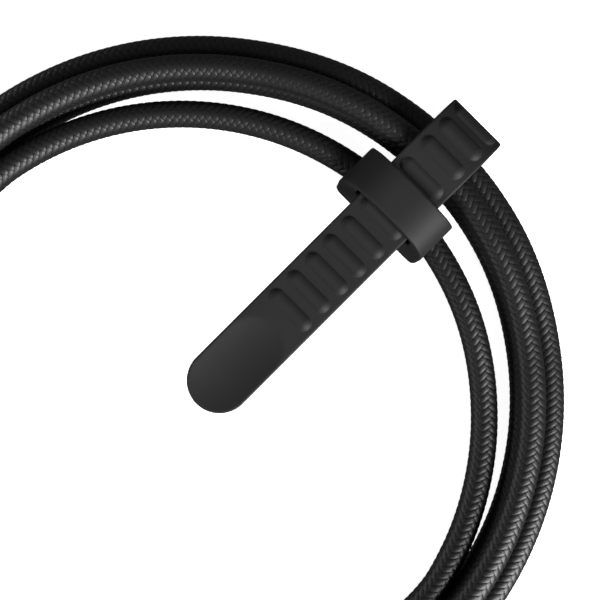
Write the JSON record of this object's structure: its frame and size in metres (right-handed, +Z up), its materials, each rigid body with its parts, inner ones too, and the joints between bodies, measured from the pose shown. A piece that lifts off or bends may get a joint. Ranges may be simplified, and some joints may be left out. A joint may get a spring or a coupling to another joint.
{
  "type": "charging cable",
  "caption": "Braided USB-C charging cable wound into a flat round coil, held by a ribbed silicone strap that slides along it and has a tail that lifts.",
  "frame": {"origin": "middle of the floor area of the whole coiled cable, plugs included, at the height of the floor it lies on", "axes": "+Z up, out of the flat coil; +X from plug B, which lies outside the coil, towards the coil; the strap crosses the coil half way between +X and +Y"},
  "size_m": [0.1492, 0.1362, 0.015],
  "materials": {
    "braid": "woven nylon braid, slight sheen",
    "strap_silicone": "matte silicone",
    "housing": "satin",
    "strain_relief": "matte",
    "shell_steel": "drawn",
    "insulator": "moulded",
    "contacts": "gold plated",
    "board": "solder mask",
    "core": "jacket"
  },
  "bodies": {
    "cable": {"cord_floor_turns": "braid", "cord_top_turn": "braid", "cord_inner_turn": "braid", "plug_a_housing": "housing", "plug_a_strain_relief": "strain_relief", "plug_a_shell": "shell_steel", "plug_a_insulator": "insulator", "plug_a_contacts_upper": "contacts", "plug_a_contacts_lower": "contacts", "plug_a_board": "board", "plug_a_chip": "insulator", "plug_a_shield_can": "shell_steel", "plug_a_crimp_ring": "shell_steel", "plug_a_cable_core": "core", "plug_b_housing": "housing", "plug_b_strain_relief": "strain_relief", "plug_b_shell": "shell_steel", "plug_b_insulator": "insulator", "plug_b_contacts_upper": "contacts", "plug_b_contacts_lower": "contacts", "plug_b_board": "board", "plug_b_chip": "insulator", "plug_b_shield_can": "shell_steel", "plug_b_crimp_ring": "shell_steel", "plug_b_cable_core": "core"},
    "tie": {"tie_keeper": "strap_silicone", "tie_band": "strap_silicone"},
    "tail": {"tie_tail": "strap_silicone"}
  },
  "joints": [
    {"name": "tie_slide", "type": "hinge", "parent": "cable", "child": "tie", "pos_m": [0.00339, -0.00311, 0.005], "axis": [0, 0, 1], "range_deg": [-8, 8]},
    {"name": "tail_lift", "type": "hinge", "parent": "tie", "child": "tail", "pos_m": [0.03811, 0.03161, 0.0106], "axis": [-0.7071, 0.7071, 0], "range_deg": [-8, 40], "stiffness_Nm_per_rad": 0.008, "springref_deg": 1.43}
  ]
}
